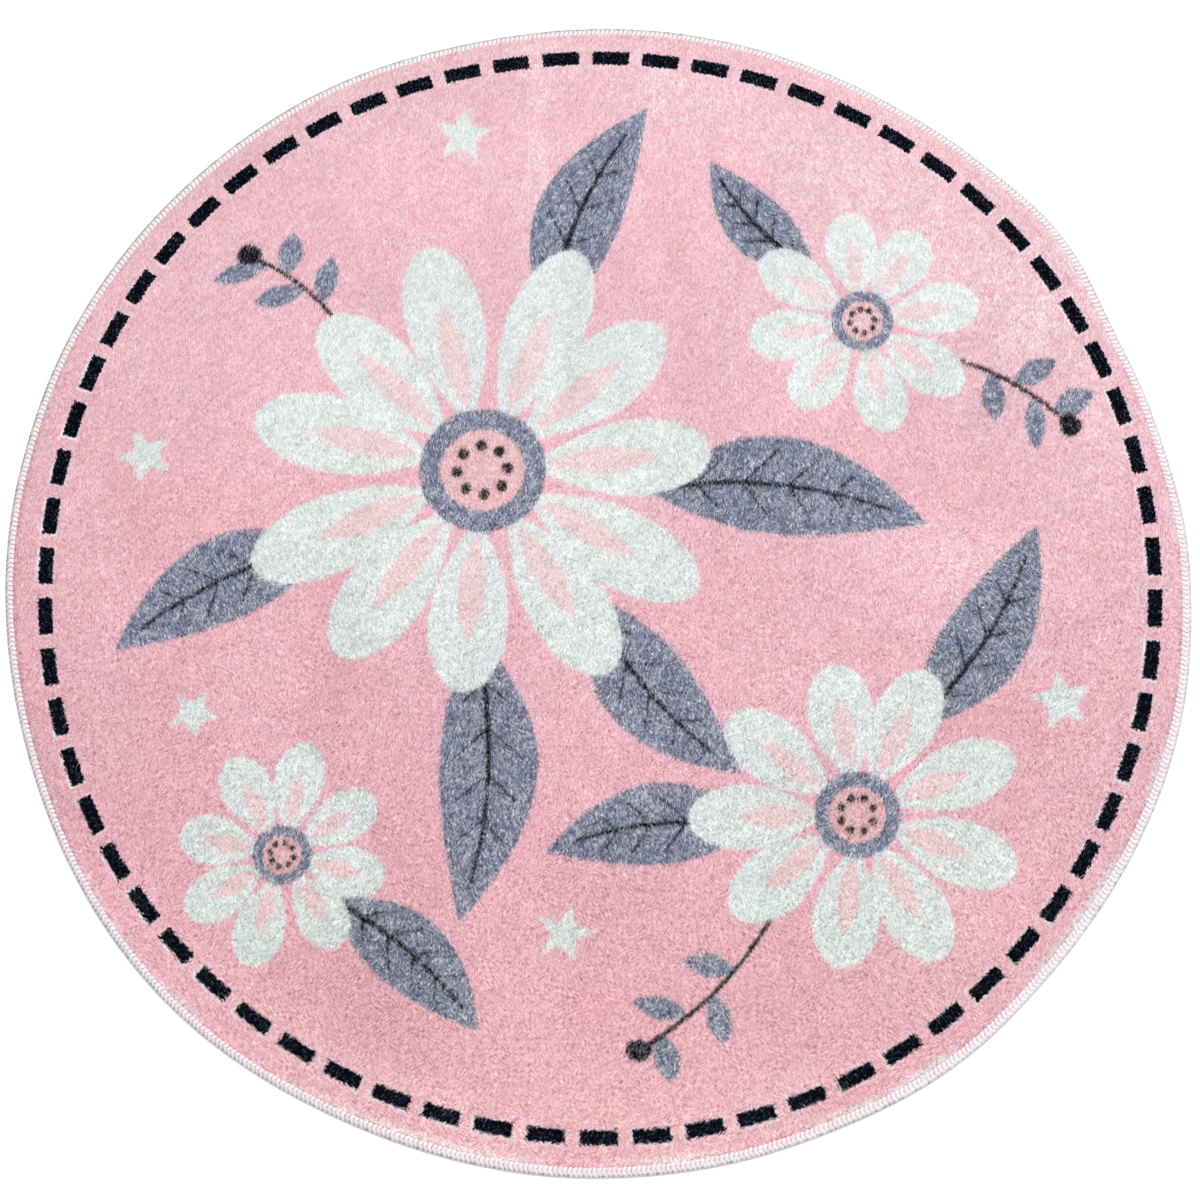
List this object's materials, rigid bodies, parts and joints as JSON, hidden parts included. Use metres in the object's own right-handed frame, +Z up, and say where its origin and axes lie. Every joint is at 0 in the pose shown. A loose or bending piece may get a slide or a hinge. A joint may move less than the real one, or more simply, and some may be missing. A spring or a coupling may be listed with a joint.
{
  "type": "round kids rug",
  "caption": "Round short-pile rug for a child's room, with a dashed ring border, a printed flower pattern and an overlocked edge.",
  "frame": {"origin": "on the floor, under the middle of the rug's box", "axes": "+Z up, out of the pile side; +Y towards the top of the print; +X to its right"},
  "size_m": [1.0026, 0.9948, 0.007],
  "materials": {
    "pile_cloth": "short cut pile, soft pink ground with an off-white, blue-grey and navy print",
    "edge_thread": "overlock stitches in very pale pink thread",
    "cloth_back": "plain woven backing, pale grey-beige"
  },
  "bodies": {
    "root": {"pile_cloth": "pile_cloth", "edge_overlock": "edge_thread"}
  },
  "joints": []
}
